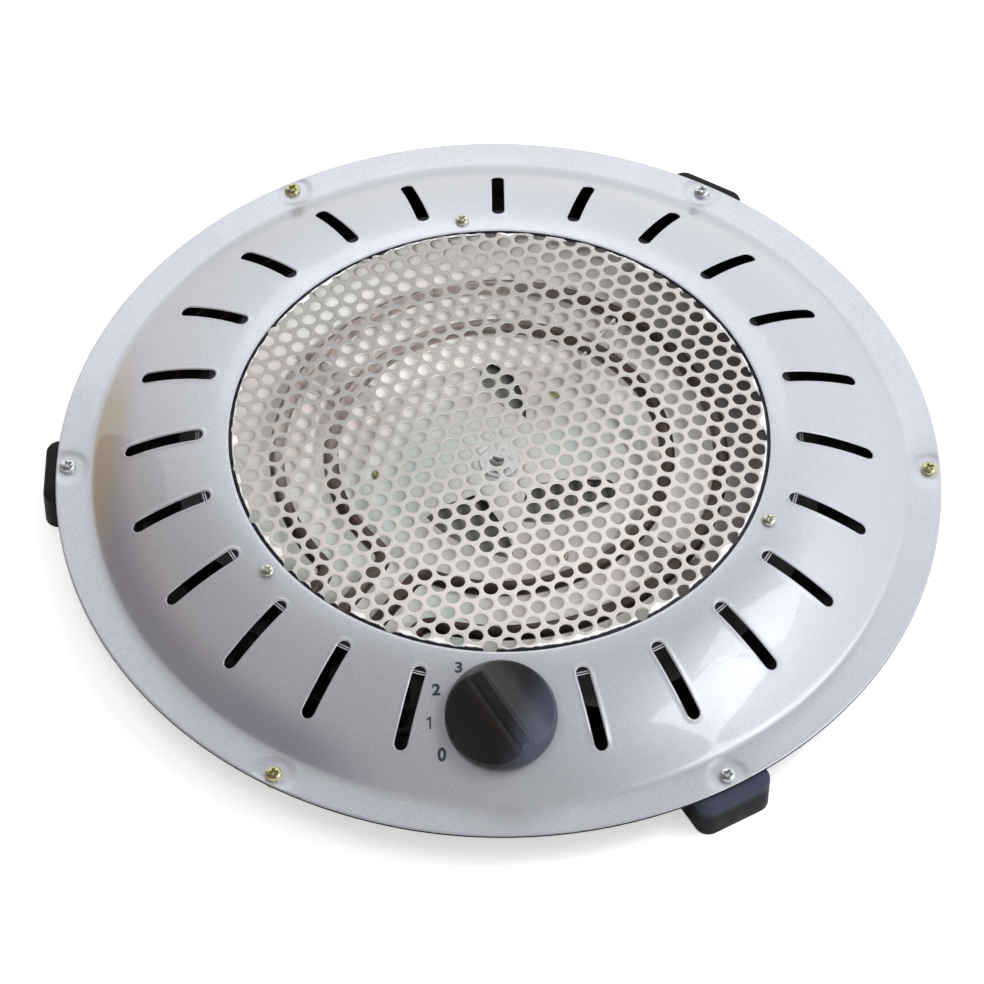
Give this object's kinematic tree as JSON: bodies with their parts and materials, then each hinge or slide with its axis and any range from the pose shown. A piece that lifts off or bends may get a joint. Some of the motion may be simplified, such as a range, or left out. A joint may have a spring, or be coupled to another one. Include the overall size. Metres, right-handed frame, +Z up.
{
  "type": "electric brazier heater",
  "caption": "Low round electric heater with a slotted domed cover, a perforated grille over ring elements, a rotary selector knob and feet.",
  "frame": {"origin": "on the floor, under the middle of the round cover", "axes": "+Z up out of the grille, -Y towards the selector knob, +X to the right as seen from the knob's side"},
  "size_m": [0.3852, 0.38, 0.0574],
  "materials": {
    "cover_paint": "glossy light grey stove paint",
    "grille_zinc": "bright zinc-plated perforated sheet",
    "black_enamel": "satin black enamel",
    "black_plastic": "satin black moulded plastic",
    "white_zinc": "white zinc plating",
    "yellow_zinc": "yellow passivated zinc plating",
    "bright_reflector": "polished sheet",
    "element_sheath": "heat-darkened metal sheath",
    "pale_ceramic": "unglazed pale ceramic",
    "switch_plastic": "cream moulded resin",
    "grey_rubber": "dark grey rubber",
    "wire_brown": "brown wire insulation",
    "wire_blue": "blue wire insulation",
    "wire_white": "white heat-resistant sleeving",
    "wire_green": "green and yellow wire insulation"
  },
  "bodies": {
    "heater": {"base_pan": "black_enamel", "centre_bolt": "white_zinc", "centre_nut": "white_zinc", "centre_spacer": "white_zinc", "centre_washer": "white_zinc", "cord_grommet": "grey_rubber", "earth_screw": "yellow_zinc", "earth_wire": "wire_green", "element_bracket": "white_zinc", "element_clip_1": "white_zinc", "element_clip_2": "white_zinc", "element_clip_3": "white_zinc", "feed_wire": "wire_brown", "foot_1": "black_plastic", "foot_2": "black_plastic", "foot_3": "black_plastic", "grille": "grille_zinc", "grille_nut_1": "white_zinc", "grille_nut_2": "white_zinc", "grille_nut_3": "white_zinc", "grille_screw_1": "yellow_zinc", "grille_screw_2": "yellow_zinc", "grille_screw_3": "yellow_zinc", "inner_element": "element_sheath", "inner_wire": "wire_white", "neutral_link": "white_zinc", "outer_element": "element_sheath", "outer_wire": "wire_white", "reflector": "bright_reflector", "reflector_screw_1": "yellow_zinc", "reflector_screw_2": "yellow_zinc", "reflector_screw_3": "yellow_zinc", "reflector_spacer_1": "white_zinc", "reflector_spacer_2": "white_zinc", "reflector_spacer_3": "white_zinc", "return_wire": "wire_blue", "rim_nut_1": "yellow_zinc", "rim_nut_2": "yellow_zinc", "rim_nut_3": "yellow_zinc", "rim_screw_1": "yellow_zinc", "rim_screw_2": "white_zinc", "rim_screw_3": "yellow_zinc", "rim_screw_4": "white_zinc", "rim_screw_5": "yellow_zinc", "rim_screw_6": "white_zinc", "switch_body": "switch_plastic", "switch_screw_1": "white_zinc", "switch_screw_2": "white_zinc", "switch_wire": "wire_brown", "terminal_block": "pale_ceramic", "thermal_cutout": "pale_ceramic", "top_cover": "cover_paint"},
    "selector": {"knob": "black_plastic", "switch_shaft": "white_zinc"}
  },
  "joints": [
    {"name": "knob_turn", "type": "hinge", "parent": "heater", "child": "selector", "pos_m": [0, -0.1433, 0.03805], "axis": [0, -0.3716, 0.9284], "range_deg": [0, 90]}
  ]
}
